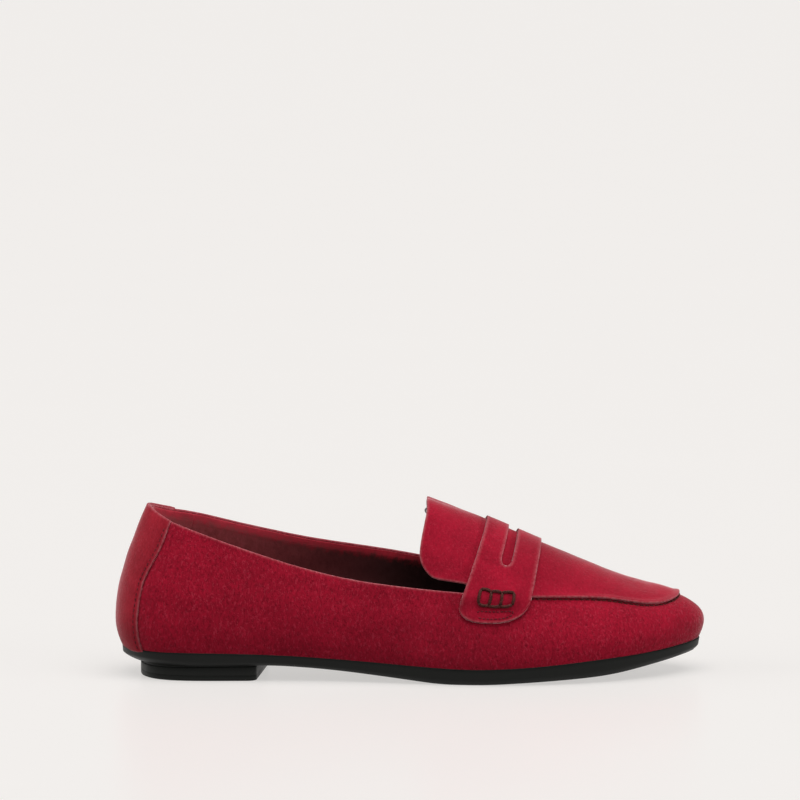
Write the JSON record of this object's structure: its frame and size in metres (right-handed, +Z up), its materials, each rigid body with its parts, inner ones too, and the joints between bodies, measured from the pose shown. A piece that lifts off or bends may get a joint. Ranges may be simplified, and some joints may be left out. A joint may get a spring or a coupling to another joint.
{
  "type": "penny loafer",
  "caption": "Low-heeled slip-on shoe with an open collar, a raised apron, a free tongue and a slotted saddle strap.",
  "frame": {"origin": "on the ground, under the middle of the shoe's length and width", "axes": "+X towards the toe, +Y towards the inner (medial) side of the foot, +Z up"},
  "size_m": [0.262, 0.0806, 0.0789],
  "materials": {
    "suede": "napped red suede",
    "suede_lining": "napped dark wine suede",
    "leather_lining": "matt dark wine leather",
    "stiffener": "stiffened fibre sheet",
    "tape": "woven tape",
    "board": "pressed cellulose fibre",
    "foam": "soft foam",
    "sole_rubber": "satin black rubber",
    "dark_thread": "waxed thread",
    "red_thread": "twisted thread",
    "steel": "plain steel",
    "stud": "polished silver"
  },
  "bodies": {
    "shoe": {"vamp_wrap": "suede", "heel_patch": "suede", "apron": "suede", "penny_strap": "suede", "vamp_lining": "leather_lining", "lateral_quarter_lining": "leather_lining", "medial_quarter_lining": "leather_lining", "heel_lining": "suede_lining", "toe_puff": "stiffener", "heel_counter": "stiffener", "lateral_topline_tape": "tape", "medial_topline_tape": "tape", "insole_board": "board", "bottom_filler": "board", "shank": "steel", "heel_pad": "foam", "forefoot_cushion": "foam", "sock_lining": "leather_lining", "outsole": "sole_rubber", "heel_block": "sole_rubber", "heel_top_piece": "sole_rubber", "heel_nail_1": "steel", "heel_nail_2": "steel", "heel_nail_3": "steel", "heel_nail_4": "steel", "heel_nail_5": "steel", "apron_seam_thread": "dark_thread", "strap_stitch_lateral": "dark_thread", "strap_stitch_medial": "dark_thread", "strap_edge_thread_lateral": "red_thread", "strap_edge_thread_medial": "red_thread", "heel_seam_thread_lateral": "red_thread", "heel_seam_thread_medial": "red_thread"},
    "tongue": {"tongue": "suede", "tongue_lining": "leather_lining", "tongue_stud": "stud"}
  },
  "joints": [
    {"name": "tongue_lift", "type": "hinge", "parent": "shoe", "child": "tongue", "pos_m": [0.0345, 0, 0.0675], "axis": [0, 1, 0], "range_deg": [0, 15], "stiffness_Nm_per_rad": 0.04}
  ]
}
